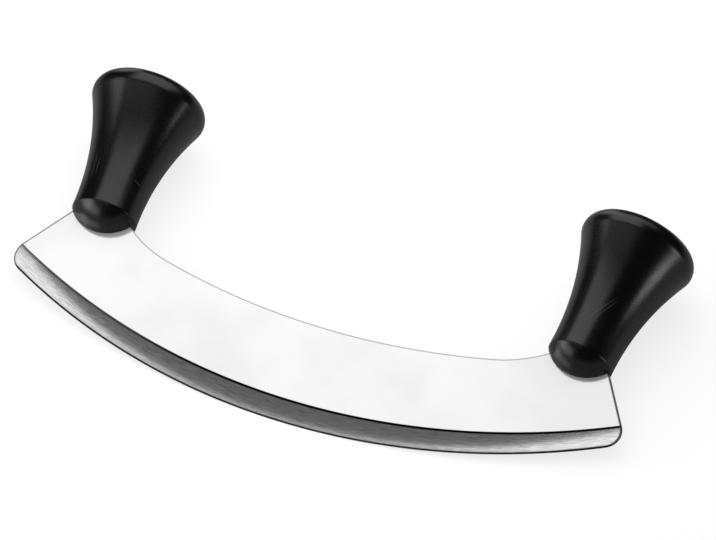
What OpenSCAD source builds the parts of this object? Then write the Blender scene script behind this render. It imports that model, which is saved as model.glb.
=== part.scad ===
// Mezzaluna: a curved double-handled chopping knife, lying at rest on a table.
// X runs along the blade's chord, Y from the cutting edge towards the handles, and Z up from the table.
// The knife rests on three points: its sharpened facet, at the middle, and the foot rings of both handles.

/* [Blade] */
// Overall length of the blade, tip to tip
blade_l = 222; // [190:1:260]
// Thickness of the steel plate
blade_t = 1.5; // [1.2:0.1:2]
// Radius of the curved cutting edge
edge_r = 235; // [200:1:300]
// Depth of the blade at its middle, from cutting edge to back
waist_d = 37.9; // [32:0.1:50]
// Rise of the back's long hollow curve, from the middle to the necks below the handles
back_rise = 12.3; // [8:0.1:14]
// Radius of the sweep from that curve up to each neck
sweep_r = 45; // [40:1:50]
// Slant of each end, from square to the chord
end_slant = 32.6; // [28:0.1:36]
// Rounding of the tip where the end meets the cutting edge
tip_r = 6.5; // [4:0.1:8]

/* [Grind] */
// Width of the hollow-ground bevel at the middle of the blade
bevel_w = 8.7; // [7:0.1:11]
// How much larger the radius of the bevel's line is than the edge's, which narrows the bevel to the tips
bevel_spread = 4; // [0:0.5:20]
// Thickness left by the hollow grind behind the sharpened edge
ground_t = 0.4; // [0.3:0.05:0.6]
// Width of the sharpened facet along the very edge
sharp_w = 0.6; // [0.4:0.1:0.8]
// Flat left along the edge by the stone
edge_t = 0.06; // [0.04:0.01:0.1]

/* [Tang] */
// Rise from the back's lowest point to the handles' foot rings
seat_rise = 16.4; // [14:0.1:20]
// Outward lean of each handle and its tang
splay = 3.8; // [0:0.1:6]
// From the handle's axis out to the blade's end, along the shoulder
neck_out = 11.3; // [10:0.1:11.5]
// From the handle's axis in to the sweep of the back, along the shoulder
neck_in = 9.6; // [8:0.1:11]
// Drop of the blade's shoulder below the handle's foot ring
shoulder_drop = 0.8; // [0.5:0.1:1.2]
// Width of the tang inside the handle
tang_w = 11; // [9:0.5:12]
// Height of the tang's end above the floor of the handle's hollow
tang_proud = 5; // [4:0.5:8]
// Corner chamfer on the tang's end
tang_chamfer = 1.2; // [0.5:0.1:2]
// Radius of the relief notch in each corner between shoulder and tang
notch_r = 0.7; // [0.5:0.1:1]

/* [Handle] */
// Diameter of the foot ring, at the foot of the flare
foot_d = 23.3; // [22:0.1:26]
// Depth of the domed foot below that ring
foot_h = 6.6; // [5:0.1:8]
// Rounding of the ring between flare and dome
ridge_r = 1.2; // [0.8:0.1:2]
// Height of the hollow flare
flare_h = 43.8; // [38:0.1:60]
// Diameter at the head of the flare
flare_d = 40; // [36:0.1:44]
// Radius of the flare's hollow curve
flare_r = 101; // [90:1:200]
// Rounding of the rim
rim_r = 5; // [4:0.1:6]
// Radius of the gently domed top
crown_r = 72; // [60:1:200]
// Wall of the hollow moulding
wall = 3.4; // [2.8:0.1:3.6]
// Height of the hollow's floor above the foot ring
floor_h = 12; // [10:0.5:16]
// Clearance on each side of the blade and its tang in their slots
slot_fit = 0.05; // [0.03:0.01:0.15]

/* [Cap] */
// Width of the handle's own top between its rounded rim and the recess for the cap
land_w = 2.1; // [1.5:0.1:3]
// Width of the ledge that carries the cap, from the recess in to the hollow's straight mouth
ledge_w = 2; // [1.5:0.1:3]
// Thickness of the cap at its edge
cap_t = 2; // [1.5:0.1:2.5]
// Length of the cap's skirt inside the mouth
skirt_h = 4; // [3:0.5:6]
// Wall of the skirt
skirt_t = 1.6; // [1.2:0.1:2]
// Clearance all round the cap in its recess and mouth
cap_fit = 0.08; // [0.05:0.01:0.2]

/* [Retainer] */
// Clearance all round the spring washer on the hollow's floor
retainer_gap = 0.5; // [0.2:0.1:1.5]
// Thickness of its steel
retainer_t = 0.8; // [0.6:0.1:1]
// Height of its dished centre
dish_h = 1.4; // [1:0.1:2]
// Diameter of the flat top of the dish
dish_d = 7; // [6:0.5:8]
// Clearance between the washer's slot and the tang
grip_fit = 0.02; // [0.01:0.01:0.05]

/* [Hidden] */
$fn = 240;
// Reach of tool solids past the surface that they cut
over = 1;
// Larger than any piece, for half planes
far = 400;

// Where the round of the tip is centred, inside both the end and the cutting edge
tip_c = [blade_l / 2 - tip_r, edge_r - sqrt(pow(edge_r - tip_r, 2) - pow(blade_l / 2 - tip_r, 2))];
// Direction square to the slanted end, and how far the end lies along it
end_n = [cos(end_slant), sin(end_slant)];
end_off = tip_c * end_n + tip_r;
// Direction from the cutting edge's centre through the centre of the tip's round
tip_u = unit(tip_c - [0, edge_r]);

// Outer end of the shoulder, and the handle's axis at the foot ring, set in from there
seat_h = waist_d + seat_rise;
shoulder_end_y = seat_h - neck_out * sin(splay) - shoulder_drop * cos(splay);
handle_x = (end_off - shoulder_end_y * end_n.y) / end_n.x - neck_out * cos(splay) + shoulder_drop * sin(splay);
// Inner end of the shoulder, where the sweep of the back ends
neck_p = [
    handle_x - neck_in * cos(splay) - shoulder_drop * sin(splay),
    seat_h + neck_in * sin(splay) - shoulder_drop * cos(splay)
];

// Back's long curve through its lowest point, and the sweep that is tangent to it and meets the neck
back_r = (pow(neck_p.x, 2) + pow(back_rise, 2)) / (2 * back_rise);
back_c = [0, waist_d + back_r];
sweep_c = crossing(back_c, back_r - sweep_r, neck_p, sweep_r);
sweep_x = back_r * unit(sweep_c - back_c).x;

// Hollow grind: its axis, and the radius of its hollow section
grind_y = bevel_w + edge_r + bevel_spread;
grind_drop = (blade_t - ground_t) / 2;
hollow_r = (pow(bevel_w, 2) + pow(grind_drop, 2)) / (2 * grind_drop);
// Slope of the sharpened facet, and the radius at which its two sides would meet
sharp_slope = (ground_t - edge_t) / 2 / sharp_w;
sharp_r = edge_r + edge_t / 2 / sharp_slope;

// Flare of the handle: an arc through the foot ring and the head of the flare
foot_p = [foot_d / 2, 0];
head_p = [flare_d / 2, flare_h];
flare_chord = norm(head_p - foot_p);
flare_u = unit(head_p - foot_p);
flare_c = (foot_p + head_p) / 2
    + sqrt(pow(flare_r, 2) - pow(flare_chord / 2, 2)) * [flare_u.y, -flare_u.x];
// Rim, tangent to the flare at its head
rim_c = head_p + rim_r * unit(head_p - flare_c);
// Crown, tangent to the rim
crown_y = rim_c.y - sqrt(pow(crown_r - rim_r, 2) - pow(rim_c.x, 2));
crown_u = unit(rim_c - [0, crown_y]);
crown_p = rim_c + rim_r * crown_u;
// Dome of the foot, a sphere through the foot ring
dome_r = (pow(foot_d / 2, 2) + pow(foot_h, 2)) / (2 * foot_h);
dome_c = [0, dome_r - foot_h];
// Round of the ridge, tangent to the flare from outside it and to the dome from inside it
ridge_c = crossing(dome_c, dome_r - ridge_r, flare_c, flare_r + ridge_r);

// Recess for the cap inside the place where crown and rim meet, its ledge, and the mouth below
cap_d = 2 * (crown_p.x - land_w);
ledge_y = crown_p.y - cap_t;
mouth_d = cap_d - 2 * ledge_w;
// Floor of the hollow, the washer on it, and the end of the tang above it
floor_d = min(mouth_d, 2 * (flare_c.x - sqrt(pow(flare_r + wall, 2) - pow(floor_h - flare_c.y, 2))));
retainer_d = floor_d - 2 * retainer_gap;
tang_top = floor_h + tang_proud;

// Heel of the sharpened facet, where the lying blade touches the table: its reach and half thickness
heel_p = [sharp_w, ground_t / 2];
// Tilt at rest, where the first of foot ring and rim to come down is level with the heel
rest_tilt = asin(max(level_sine(ridge_c, ridge_r, 0, 8), level_sine(rim_c, rim_r, 0, 8)));
// Reach of the lying knife from its cutting edge to the handles' tops
reach_y = (seat_h + crown_y * cos(splay)) * cos(rest_tilt) + crown_r;

// Unit vector along v
function unit(v) = v / norm(v);

// Crossing of two circles, on the right-hand side going from the first centre to the second
function crossing(a, ra, b, rb) =
    let (d = norm(b - a), u = (b - a) / d)
    let (x = (d * d + ra * ra - rb * rb) / (2 * d), y = sqrt(ra * ra - x * x))
    a + x * u + y * [u.y, -u.x];

// Sine of the tilt at which a handle's ring is level with the heel, found by repeated substitution.
// The ring is given as the section of its round: centre c, from the handle's axis and foot ring, and radius r.
function level_sine(c, r, s, steps) = steps == 0 ? s : level_sine(c, r,
    (c.x * sqrt(1 - pow(s * cos(splay), 2)) + r - heel_p.y * sqrt(1 - s * s))
        / (seat_h + c.y * cos(splay) - heel_p.x),
    steps - 1);

// Lays the knife down from its flat drawing plane onto the table
module at_rest() {
    translate([0, -reach_y / 2, heel_p.y * cos(rest_tilt) - heel_p.x * sin(rest_tilt)])
        rotate([rest_tilt, 0, 0])
            children();
}

// Handle's place in the plane of the blade, with the handle's axis along Y
module on_plane(side) {
    translate([side * handle_x, seat_h])
        rotate(-side * splay)
            children();
}

// Handle's place in space, with the handle's axis along Z
module on_axis(side) {
    translate([side * handle_x, seat_h, 0])
        rotate([0, 0, -side * splay])
            rotate([-90, 0, 0])
                children();
}

// Turns a sharp corner into a round of radius r about c, tangent where u and v point from c
module round_corner(c, r, u, v) {
    difference() {
        children();
        polygon([c, c + far * u, c + far * (u + v), c + far * v]);
    }
    translate(c)
        circle(r);
}

// Plate between the cutting edge and the two slanted ends, up to where the handles stand
module plate_blank() {
    top_y = seat_h + neck_in * sin(splay);
    intersection() {
        translate([0, edge_r])
            circle(edge_r);
        polygon([
            [-end_off / end_n.x, 0],
            [end_off / end_n.x, 0],
            [(end_off - top_y * end_n.y) / end_n.x, top_y],
            [-(end_off - top_y * end_n.y) / end_n.x, top_y]
        ]);
    }
}

// Opening between the handles: the back's long curve and the sweep at each end
module back_curve() {
    intersection() {
        translate(back_c)
            circle(back_r);
        translate([-sweep_x, 0])
            square([2 * sweep_x, 2 * seat_h]);
    }
    for (side = [-1, 1])
        translate([side * sweep_c.x, sweep_c.y])
            circle(sweep_r);
}

// Tang with chamfered end corners, in the handle's place
module tang_outline() {
    half = tang_w / 2;
    polygon([
        [-half, -shoulder_drop - over],
        [half, -shoulder_drop - over],
        [half, tang_top - tang_chamfer],
        [half - tang_chamfer, tang_top],
        [-half + tang_chamfer, tang_top],
        [-half, tang_top - tang_chamfer]
    ]);
}

// Whole plate, with its tips rounded, its shoulders cut and its tangs standing
module plate_outline() {
    difference() {
        round_corner(tip_c, tip_r, end_n, tip_u)
            round_corner([-tip_c.x, tip_c.y], tip_r, [-end_n.x, end_n.y], [-tip_u.x, tip_u.y])
                plate_blank();
        back_curve();
        for (side = [-1, 1])
            on_plane(side)
                translate([-flare_d / 2, -shoulder_drop])
                    square(flare_d);
    }
    for (side = [-1, 1])
        on_plane(side)
            tang_outline();
}

// Plate as it comes from the press, with a relief notch beside each tang
module pressed_plate() {
    difference() {
        plate_outline();
        for (side = [-1, 1], edge = [-1, 1])
            on_plane(side)
                translate([edge * tang_w / 2, -shoulder_drop])
                    circle(notch_r);
    }
}

// Room that the hollow grind leaves: full thickness inside the bevel line, then a hollow section
module hollow_grind() {
    translate([0, grind_y, 0])
        rotate_extrude()
            difference() {
                translate([0, -blade_t / 2])
                    square([grind_y + over, blade_t]);
                for (face = [-1, 1])
                    translate([grind_y, face * (ground_t / 2 + hollow_r)])
                        circle(hollow_r);
            }
}

// Room that the sharpening stone leaves: a double cone about the cutting edge's own centre
module sharp_grind() {
    inner_r = sharp_r - blade_t / sharp_slope;
    translate([0, edge_r, 0])
        rotate_extrude()
            polygon([
                [0, -blade_t],
                [inner_r, -blade_t],
                [sharp_r, 0],
                [inner_r, blade_t],
                [0, blade_t]
            ]);
}

// Blade with both tangs, hollow ground on both faces
module blade() {
    color([0.84, 0.85, 0.86])
        at_rest()
            intersection() {
                linear_extrude(2 * blade_t, center = true)
                    pressed_plate();
                hollow_grind();
                sharp_grind();
            }
}

// Everything inside the flare, moved in by the given wall, from the foot ring up to height h
module inside_flare(inset, h) {
    difference() {
        square([flare_c.x, h]);
        translate(flare_c)
            circle(flare_r + inset);
    }
}

// Dome of the foot, below the foot ring
module foot_dome() {
    intersection() {
        translate(dome_c)
            circle(dome_r);
        translate([0, -foot_h])
            square([foot_d / 2, foot_h]);
    }
}

// Rounded rim and the disc that fills it
module rim_and_top() {
    translate(rim_c)
        circle(rim_r);
    polygon([[0, flare_h], head_p, rim_c, crown_p, [0, crown_p.y]]);
    crown();
}

// Gently domed top, above the place where it meets the rim
module crown() {
    intersection() {
        translate([0, crown_y])
            circle(crown_r);
        translate([0, crown_p.y])
            square([crown_p.x, rim_r]);
    }
}

// Half section of the handle's outside, without its hollow
module handle_profile() {
    round_corner(ridge_c, ridge_r, unit(flare_c - ridge_c), unit(ridge_c - dome_c)) {
        union() {
            inside_flare(0, flare_h);
            foot_dome();
        }
    }
    rim_and_top();
}

// Half section of the hollow, with the mouth and the recess for the cap
module hollow_profile() {
    intersection() {
        inside_flare(wall, ledge_y);
        translate([0, floor_h])
            square([mouth_d / 2, ledge_y]);
    }
    translate([0, flare_h])
        square([mouth_d / 2, ledge_y - flare_h + over]);
    translate([0, ledge_y])
        square([cap_d / 2, crown_r]);
}

// Slit that straddles the blade's neck: open at its outer end, closed where the back sweeps up
module neck_slit(side) {
    slot_t = blade_t + 2 * slot_fit;
    translate([0, 0, -slot_t / 2])
        linear_extrude(slot_t)
            difference() {
                on_plane(side)
                    translate([-foot_d, -foot_h - over])
                        square([2 * foot_d, foot_h + over - shoulder_drop]);
                translate([side * sweep_c.x, sweep_c.y])
                    circle(sweep_r - slot_fit);
            }
}

// Slot for the tang, from the slit up through the floor of the hollow
module tang_slot() {
    slot_t = blade_t + 2 * slot_fit;
    slot_w = tang_w + 2 * slot_fit;
    translate([-slot_w / 2, -slot_t / 2, -shoulder_drop - over])
        cube([slot_w, slot_t, shoulder_drop + floor_h + 2 * over]);
}

// Moulded handle: hollow from the top, with a solid foot that holds the tang
module handle(side) {
    color([0.05, 0.05, 0.05])
        at_rest()
            difference() {
                on_axis(side)
                    difference() {
                        rotate_extrude()
                            difference() {
                                handle_profile();
                                hollow_profile();
                            }
                        tang_slot();
                    }
                neck_slit(side);
            }
}

// Cap that closes the hollow: a domed disc in the recess and a skirt in the mouth
module cap(side) {
    skirt_r = mouth_d / 2 - cap_fit;
    color([0.05, 0.05, 0.05])
        at_rest()
            on_axis(side)
                rotate_extrude() {
                    intersection() {
                        union() {
                            crown();
                            translate([0, ledge_y])
                                square([crown_p.x, cap_t]);
                        }
                        translate([0, ledge_y])
                            square([cap_d / 2 - cap_fit, crown_r]);
                    }
                    translate([skirt_r - skirt_t, ledge_y - skirt_h])
                        square([skirt_t, skirt_h + cap_t / 2]);
                }
}

// Push-on spring washer: a flat ring with a dished centre, slotted for the tang
module retainer(side) {
    slot = [tang_w + 2 * grip_fit, blade_t + 2 * grip_fit, 2 * floor_h];
    ring_r = retainer_d / 2;
    slope_r = dish_d / 2 + dish_h;
    color([0.5, 0.52, 0.55])
        at_rest()
            on_axis(side)
                translate([0, 0, floor_h])
                    difference() {
                        rotate_extrude()
                            polygon([
                                [slope_r, 0],
                                [ring_r, 0],
                                [ring_r, retainer_t],
                                [slope_r, retainer_t],
                                [dish_d / 2, dish_h + retainer_t],
                                [0, dish_h + retainer_t],
                                [0, dish_h],
                                [dish_d / 2, dish_h]
                            ]);
                        cube(slot, center = true);
                    }
}

blade();
handle(-1);  // left_handle
handle(1);  // right_handle
cap(-1);  // left_cap
cap(1);  // right_cap
retainer(-1);  // left_retainer
retainer(1);  // right_retainer
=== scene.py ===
import logging
import math
from dataclasses import dataclass, field, replace
from enum import Enum
from typing import Any, Iterable, Mapping

import bmesh
import bpy
from mathutils import Matrix, Vector


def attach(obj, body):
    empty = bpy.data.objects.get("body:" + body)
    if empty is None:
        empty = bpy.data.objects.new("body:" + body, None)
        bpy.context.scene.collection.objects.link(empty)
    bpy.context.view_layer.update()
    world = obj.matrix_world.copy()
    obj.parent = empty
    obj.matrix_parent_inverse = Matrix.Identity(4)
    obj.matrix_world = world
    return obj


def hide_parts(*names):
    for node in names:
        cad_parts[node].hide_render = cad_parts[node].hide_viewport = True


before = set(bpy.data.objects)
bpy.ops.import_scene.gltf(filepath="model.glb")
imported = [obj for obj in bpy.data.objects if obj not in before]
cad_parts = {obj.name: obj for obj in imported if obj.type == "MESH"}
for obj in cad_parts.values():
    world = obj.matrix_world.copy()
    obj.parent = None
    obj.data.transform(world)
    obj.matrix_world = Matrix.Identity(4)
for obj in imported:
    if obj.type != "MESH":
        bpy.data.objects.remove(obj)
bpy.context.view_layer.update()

LOG = logging.getLogger("mezzaluna")
MM = 0.001
# Points nearer than this are one
WELD = 0.002 * MM

Point = tuple[float, float]
Triple = tuple[float, float, float]


# ---- node trees


class Term:
    """A socket of a node tree that takes part in Python expressions."""

    def __init__(self, graph: "Graph", socket: bpy.types.NodeSocket) -> None:
        """Wrap one output socket of a graph."""
        self.graph = graph
        self.socket = socket

    def _do(self, operation: str, *values: Any) -> "Term":
        """Add one Math node with the given operation."""
        return self.graph.math(operation, *values)

    def __add__(self, other: Any) -> "Term":
        """Sum."""
        return self._do("ADD", self, other)

    def __radd__(self, other: Any) -> "Term":
        """Sum, with the number on the left."""
        return self._do("ADD", other, self)

    def __sub__(self, other: Any) -> "Term":
        """Difference."""
        return self._do("SUBTRACT", self, other)

    def __rsub__(self, other: Any) -> "Term":
        """Difference, with the number on the left."""
        return self._do("SUBTRACT", other, self)

    def __mul__(self, other: Any) -> "Term":
        """Product."""
        return self._do("MULTIPLY", self, other)

    def __rmul__(self, other: Any) -> "Term":
        """Product, with the number on the left."""
        return self._do("MULTIPLY", other, self)

    def __truediv__(self, other: Any) -> "Term":
        """Quotient."""
        return self._do("DIVIDE", self, other)

    def __rtruediv__(self, other: Any) -> "Term":
        """Quotient, with the number on the left."""
        return self._do("DIVIDE", other, self)

    def __abs__(self) -> "Term":
        """Value without its sign."""
        return self._do("ABSOLUTE", self)

    def cos(self) -> "Term":
        """Cosine, of radians."""
        return self._do("COSINE", self)

    def sin(self) -> "Term":
        """Sine, of radians."""
        return self._do("SINE", self)

    def clip(self) -> "Term":
        """Value held between 0 and 1."""
        return self._do("MAXIMUM", self._do("MINIMUM", self, 1.0), 0.0)

    def step(self, low: float, high: float) -> "Term":
        """Smooth rise from 0 at low to 1 at high, which may lie the other way round.

        Args:
            low: The value at which the result is 0.
            high: The value at which the result is 1.

        Returns:
            The smooth step of this value.
        """
        t = ((self - low) / (high - low)).clip()
        return t * t * (3.0 - 2.0 * t)


class Graph:
    """A node tree under construction, for a material, the world or a geometry modifier."""

    def __init__(self, tree: bpy.types.NodeTree) -> None:
        """Take over a tree and empty it."""
        self.tree = tree
        tree.nodes.clear()

    def node(
        self,
        kind: str,
        settings: Mapping[str, Any] | None = None,
        inputs: Mapping[str | int, Any] | None = None,
    ) -> bpy.types.Node:
        """Add any node, with its settings made before its sockets are filled.

        Args:
            kind: The node's type name.
            settings: Attributes of the node.
            inputs: Values or links, by socket name or by number.

        Returns:
            The new node.
        """
        node = self.tree.nodes.new(kind)
        for name, value in (settings or {}).items():
            setattr(node, name, value)
        for name, value in (inputs or {}).items():
            self.feed(node.inputs[name], value)
        return node

    def feed(self, socket: bpy.types.NodeSocket, value: Any) -> None:
        """Link a term to an input socket, or set the socket to a constant."""
        if isinstance(value, Term):
            self.tree.links.new(value.socket, socket)
        elif isinstance(value, (list, tuple)) and value and isinstance(value[0], Term):
            for one in value:
                self.tree.links.new(one.socket, socket)
        else:
            socket.default_value = value

    def out(self, node: bpy.types.Node, name: str | int = 0) -> Term:
        """Return one output of a node as a term."""
        return Term(self, node.outputs[name])

    def math(self, operation: str, *values: Any) -> Term:
        """Add a Math node and return its value."""
        inputs = dict(enumerate(values))
        return self.out(self.node("ShaderNodeMath", {"operation": operation}, inputs))

    def length(self, vector: Term) -> Term:
        """Return the length of a vector."""
        node = self.node("ShaderNodeVectorMath", {"operation": "LENGTH"}, {0: vector})
        return self.out(node, "Value")

    def reach(self, x: Any, y: Any) -> Term:
        """Return how far a point of the plane lies from its origin."""
        return self.length(self.join(x, y, 0.0))

    def join(self, x: Any, y: Any, z: Any) -> Term:
        """Return a vector made of three values."""
        return self.out(self.node("ShaderNodeCombineXYZ", None, {0: x, 1: y, 2: z}))

    def split(self, vector: Term) -> tuple[Term, Term, Term]:
        """Return the three values of a vector."""
        node = self.node("ShaderNodeSeparateXYZ", None, {0: vector})
        return self.out(node, 0), self.out(node, 1), self.out(node, 2)

    def mix(self, share: Any, first: Any, second: Any) -> Term:
        """Blend two colours.

        Args:
            share: How much of the second colour shows, from 0 to 1.
            first: The colour at 0.
            second: The colour at 1.

        Returns:
            The blended colour.
        """
        node = self.node("ShaderNodeMix", {"data_type": "RGBA"})
        self.feed(node.inputs[0], share)
        self.feed(node.inputs[6], first)
        self.feed(node.inputs[7], second)
        return self.out(node, 2)

    def noise(self, place: Term, scale: float, detail: float = 2.0, rough: float = 0.5) -> Term:
        """Return a smooth noise between 0 and 1.

        Args:
            place: The vector at which the noise is read.
            scale: Number of waves in one unit of length.
            detail: Number of finer layers.
            rough: Weight of the finer layers.

        Returns:
            The noise's value.
        """
        inputs = {"Vector": place, "Scale": scale, "Detail": detail, "Roughness": rough}
        return self.out(self.node("ShaderNodeTexNoise", {"noise_dimensions": "3D"}, inputs))

    def bump(self, strength: float, depth: float, height: Term) -> Term:
        """Return the normal of a surface with fine relief.

        Args:
            strength: How much of the relief shows, from 0 to 1.
            depth: Depth of the relief.
            height: Its height, as a share of the depth.

        Returns:
            The normal.
        """
        inputs = {"Strength": strength, "Distance": depth, "Height": height}
        return self.out(self.node("ShaderNodeBump", None, inputs))

    def principled(self, inputs: Mapping[str, Any]) -> None:
        """Put a Principled shader with the given inputs on the surface."""
        shader = self.node("ShaderNodeBsdfPrincipled", None, inputs)
        self.node("ShaderNodeOutputMaterial", None, {"Surface": self.out(shader)})


def rgb(level: float, warm: float = 0.0) -> tuple[float, float, float, float]:
    """Return a grey of the given level, made a little warmer or, below 0, cooler."""
    return (level * (1 + warm), level, level * (1 - warm), 1.0)


# ---- plane geometry


def unit(v: Vector) -> Vector:
    """Return v at length 1."""
    return v / v.length


def crossing(a: Vector, ra: float, b: Vector, rb: float) -> Vector:
    """Crossing of two circles, on the right-hand side going from the first centre to the second.

    Args:
        a: Centre of the first circle.
        ra: Its radius.
        b: Centre of the second circle.
        rb: Its radius.

    Returns:
        The crossing point.
    """
    d = (b - a).length
    u = (b - a) / d
    x = (d * d + ra * ra - rb * rb) / (2 * d)
    y = math.sqrt(ra * ra - x * x)
    return a + x * u + y * Vector((u.y, -u.x))


@dataclass(frozen=True)
class Arc:
    """A stretch of a turned profile: a line, or a part of a circle, from start to end.

    Attributes:
        start: Radius and height where the stretch begins.
        end: Radius and height where it ends.
        centre: Centre of the circle, or None for a line.
        steps: Number of faces along it.
    """

    start: Vector
    end: Vector
    centre: Vector | None = None
    steps: int = 1

    def numbers(self) -> tuple[float, float, float, float, float, float]:
        """Return the circle's centre, its radius at either end and its two angles."""
        assert self.centre is not None
        a, b = self.start - self.centre, self.end - self.centre
        first = math.atan2(a.y, a.x)
        last = math.atan2(b.y, b.x)
        # The stretch goes the shorter way round
        while last - first > math.pi:
            last -= 2 * math.pi
        while last - first < -math.pi:
            last += 2 * math.pi
        return self.centre.x, self.centre.y, a.length, b.length, first, last


# ---- sizes, in metres


@dataclass(frozen=True)
class BladeSizes:
    """Sizes of the blade in its drawing plane: X along the chord, Y from the edge to the handles."""

    length: float = 222 * MM
    thickness: float = 1.5 * MM
    edge_r: float = 235 * MM
    waist: float = 37.9 * MM
    back_rise: float = 12.3 * MM
    sweep_r: float = 45 * MM
    end_slant: float = math.radians(32.6)
    tip_r: float = 6.5 * MM
    bevel: float = 8.7 * MM
    bevel_spread: float = 4 * MM
    ground: float = 0.4 * MM
    facet: float = 0.6 * MM
    edge_flat: float = 0.06 * MM
    seat_rise: float = 16.4 * MM
    splay: float = math.radians(3.8)
    neck_out: float = 11.3 * MM
    neck_in: float = 9.6 * MM
    shoulder_drop: float = 0.8 * MM
    tang: float = 11 * MM
    tang_top: float = 17 * MM
    tang_chamfer: float = 1.2 * MM

    @property
    def tip_c(self) -> Vector:
        """Centre of the round at the right tip."""
        x = self.length / 2 - self.tip_r
        return Vector((x, self.edge_r - math.sqrt((self.edge_r - self.tip_r) ** 2 - x * x)))

    @property
    def end_n(self) -> Vector:
        """Direction square to the right end."""
        return Vector((math.cos(self.end_slant), math.sin(self.end_slant)))

    @property
    def end_off(self) -> float:
        """How far the right end lies along that direction."""
        return self.tip_c.dot(self.end_n) + self.tip_r

    @property
    def seat_h(self) -> float:
        """Height of the handles' foot rings."""
        return self.waist + self.seat_rise

    @property
    def handle_x(self) -> float:
        """Place of the right handle's axis at its foot ring."""
        sine, cosine = math.sin(self.splay), math.cos(self.splay)
        y = self.seat_h - self.neck_out * sine - self.shoulder_drop * cosine
        at_end = (self.end_off - y * self.end_n.y) / self.end_n.x
        return at_end - self.neck_out * cosine + self.shoulder_drop * sine

    @property
    def grind_y(self) -> float:
        """Height of the axis that both hollow-ground faces are turned about."""
        return self.bevel + self.bevel_line_r

    @property
    def bevel_line_r(self) -> float:
        """Radius of the line where the bevel begins, about that axis."""
        return self.edge_r + self.bevel_spread

    @property
    def grind_drop(self) -> float:
        """Depth that the hollow grind takes off each face at the edge."""
        return (self.thickness - self.ground) / 2

    @property
    def hollow_r(self) -> float:
        """Radius of the hollow section."""
        return (self.bevel**2 + self.grind_drop**2) / (2 * self.grind_drop)

    @property
    def facet_slope(self) -> float:
        """Slope of the sharpened facet."""
        return (self.ground - self.edge_flat) / 2 / self.facet

    @property
    def neck(self) -> Vector:
        """Point where the back meets the right handle."""
        return self.on_handle(-self.neck_in, -self.shoulder_drop)

    @property
    def back_r(self) -> float:
        """Radius of the back's long curve."""
        return (self.neck.x**2 + self.back_rise**2) / (2 * self.back_rise)

    @property
    def back_c(self) -> Vector:
        """Centre of that curve."""
        return Vector((0, self.waist + self.back_r))

    @property
    def sweep_c(self) -> Vector:
        """Centre of the curve that takes the back up to the right handle."""
        return crossing(self.back_c, self.back_r - self.sweep_r, self.neck, self.sweep_r)

    @property
    def meet(self) -> Vector:
        """Point where the long curve goes over into that one."""
        return self.back_c + self.back_r * unit(self.sweep_c - self.back_c)

    def on_handle(self, u: float, v: float) -> Vector:
        """Return the plane point that lies u across and v along the right handle's axis."""
        sine, cosine = math.sin(self.splay), math.cos(self.splay)
        return Vector((self.handle_x + u * cosine + v * sine, self.seat_h - u * sine + v * cosine))

    def from_handle(self, p: Vector) -> Vector:
        """Return how far a plane point lies across and along the right handle's axis."""
        sine, cosine = math.sin(self.splay), math.cos(self.splay)
        d = p - Vector((self.handle_x, self.seat_h))
        return Vector((d.x * cosine - d.y * sine, d.x * sine + d.y * cosine))

    def half(self, p: Vector) -> float:
        """Return half the steel's thickness at a point of the plane."""
        out = (p - Vector((0, self.grind_y))).length - self.bevel_line_r
        full = self.thickness / 2
        if out > 0:
            inner = max(self.bevel - out, 0.0)
            full = self.ground / 2 + self.hollow_r - math.sqrt(self.hollow_r**2 - inner**2)
        to_edge = self.edge_r - (p - Vector((0, self.edge_r))).length
        return min(full, self.edge_flat / 2 + max(to_edge, 0.0) * self.facet_slope)


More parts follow.
